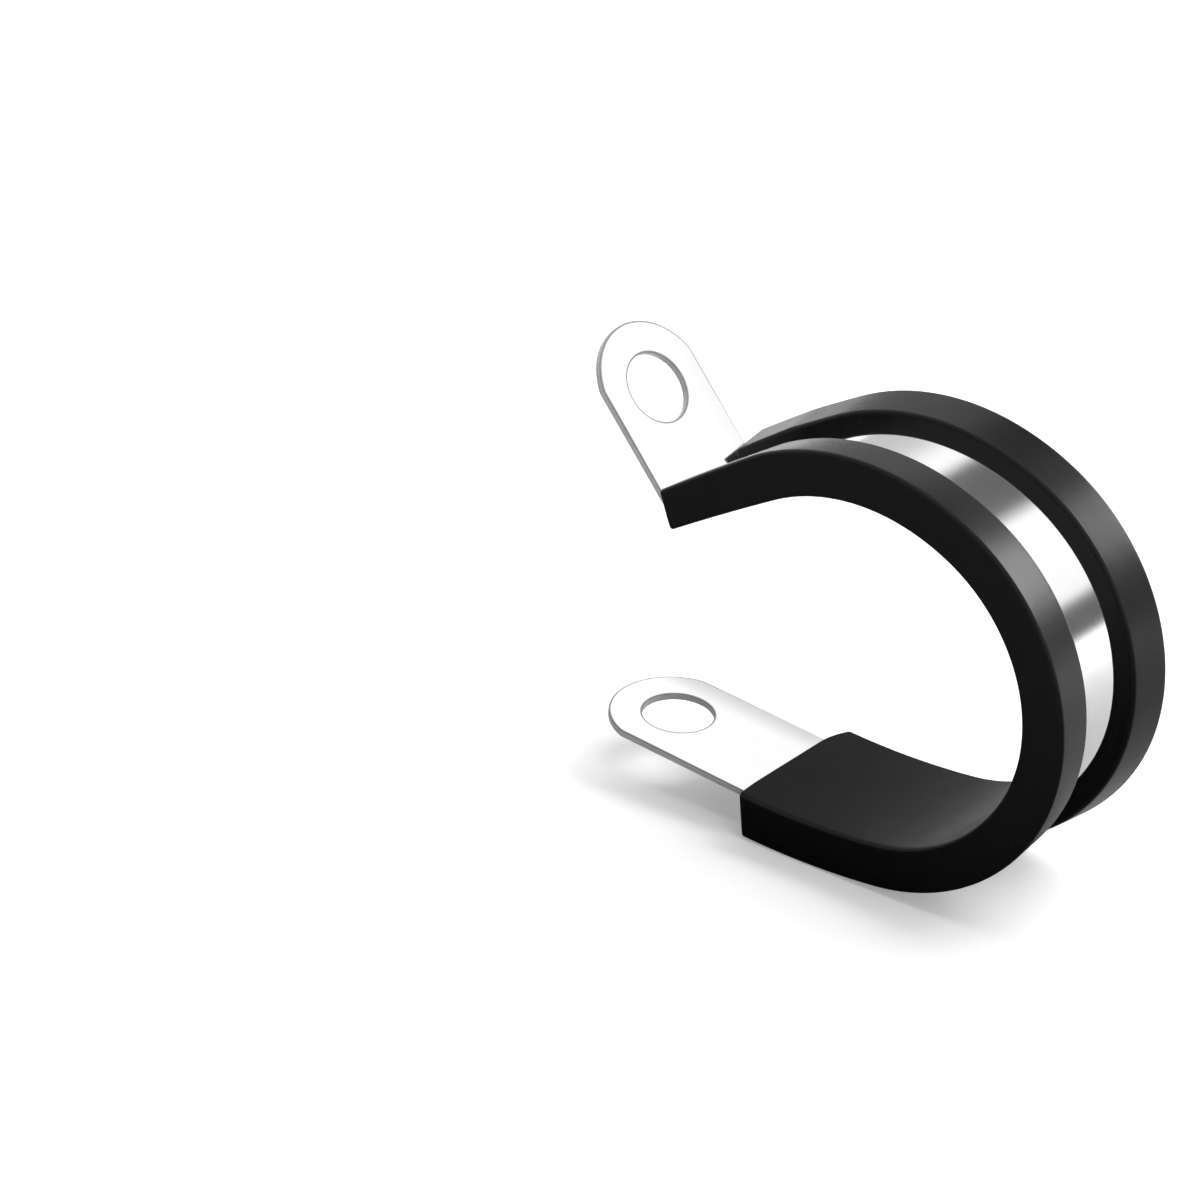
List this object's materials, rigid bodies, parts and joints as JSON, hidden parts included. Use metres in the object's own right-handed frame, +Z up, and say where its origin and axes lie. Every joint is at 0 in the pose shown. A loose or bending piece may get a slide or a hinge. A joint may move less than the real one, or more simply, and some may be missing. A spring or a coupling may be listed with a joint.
{
  "type": "p clip",
  "caption": "Open P-shaped pipe and hose clip: folded polished steel strip with a bolt hole in each tab, lined by a black rubber channel cushion.",
  "frame": {"origin": "where the axis of the lower bolt hole leaves the underside of the steel strip", "axes": "+X from the tabs towards the closed side of the loop, +Y along the hose or cable that the clip holds, +Z up as the open clip stands on the underside of its cushion"},
  "size_m": [0.0673, 0.0194, 0.0517],
  "materials": {
    "polished_steel": "polished",
    "black_rubber": "satin"
  },
  "bodies": {
    "root": {"steel_band": "polished_steel", "rubber_cushion": "black_rubber"}
  },
  "joints": []
}
